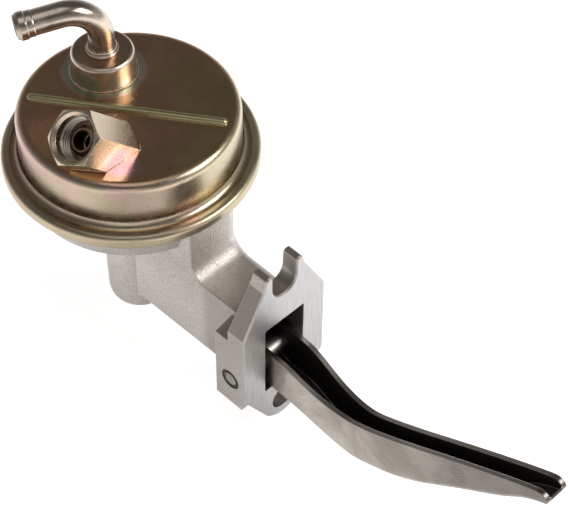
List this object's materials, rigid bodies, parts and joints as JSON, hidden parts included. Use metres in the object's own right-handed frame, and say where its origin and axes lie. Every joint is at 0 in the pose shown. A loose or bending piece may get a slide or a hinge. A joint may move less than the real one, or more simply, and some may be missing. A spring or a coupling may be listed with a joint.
{
  "type": "mechanical fuel pump",
  "caption": "Diaphragm fuel pump with a bolt-on flange, a crimped steel cover, a bent inlet tube, a slanted threaded outlet and a channel rocker arm on a pivot pin.",
  "frame": {"origin": "centre of the lower bolt hole on the mounting face", "axes": "+X out of the mounting face along the rocker arm, +Z along the diaphragm's axis towards the cover, -Y towards the outlet's side"},
  "size_m": [0.2529, 0.096, 0.142],
  "materials": {
    "die_casting": "fine as-cast grain, mounting face machined",
    "hardened_steel": "ground",
    "arm_steel": "satin pressed steel, sheared edges",
    "spring_steel": "drawn wire",
    "zinc_plated_steel": "satin plated",
    "yellow_zinc_steel": "yellow passivated zinc, iridescent",
    "seal_rubber": "moulded",
    "diaphragm_rubber": "coated fabric",
    "valve_brass": "turned",
    "braze": "bright braze metal"
  },
  "bodies": {
    "pump_body": {"lower_body": "die_casting", "pivot_pin": "hardened_steel", "return_spring": "spring_steel", "rod_seal": "seal_rubber", "seal_retainer": "zinc_plated_steel", "diaphragm_spring": "spring_steel", "diaphragm": "diaphragm_rubber", "valve_plate": "die_casting", "inlet_valve_seat": "valve_brass", "inlet_valve_stem": "valve_brass", "inlet_valve_spring": "spring_steel", "outlet_valve_seat": "valve_brass", "outlet_valve_stem": "valve_brass", "outlet_valve_spring": "spring_steel", "divider_gasket": "seal_rubber", "top_cover": "yellow_zinc_steel", "crimp_ring": "yellow_zinc_steel", "inlet_cup": "yellow_zinc_steel", "inlet_cup_braze": "braze", "inlet_elbow": "zinc_plated_steel", "elbow_collar": "yellow_zinc_steel", "outlet_fitting": "yellow_zinc_steel", "flare_seat": "valve_brass"},
    "arm": {"rocker_arm": "arm_steel", "arm_bush": "hardened_steel"},
    "diaphragm_stack": {"pull_rod": "hardened_steel", "rod_washer": "hardened_steel", "lower_diaphragm_plate": "zinc_plated_steel", "upper_diaphragm_plate": "zinc_plated_steel"},
    "inlet_valve": {"inlet_valve_disc": "seal_rubber"},
    "outlet_valve": {"outlet_valve_disc": "seal_rubber"}
  },
  "joints": [
    {"name": "arm_pivot", "type": "hinge", "parent": "pump_body", "child": "arm", "pos_m": [-0.0072, 0, 0.022], "axis": [0, -1, 0], "range_deg": [0, 5], "stiffness_Nm_per_rad": 3, "springref_deg": -8.59, "deforming": ["return_spring"]},
    {"name": "diaphragm_slide", "type": "slide", "parent": "pump_body", "child": "diaphragm_stack", "axis": [0, 0, -1], "range_m": [0, 0.0065], "deforming": ["diaphragm_spring", "diaphragm"]},
    {"name": "inlet_valve_lift", "type": "slide", "parent": "pump_body", "child": "inlet_valve", "axis": [0, 0, -1], "range_m": [0, 0.0012], "stiffness_N_per_m": 20, "springref_m": -0.004, "deforming": ["inlet_valve_spring"]},
    {"name": "outlet_valve_lift", "type": "slide", "parent": "pump_body", "child": "outlet_valve", "axis": [0, 0, 1], "range_m": [0, 0.0012], "stiffness_N_per_m": 20, "springref_m": -0.004, "deforming": ["outlet_valve_spring"]}
  ],
  "couplings": [
    {"joint": "diaphragm_slide", "follows": "arm_pivot", "m_per_rad": 0.0733}
  ]
}
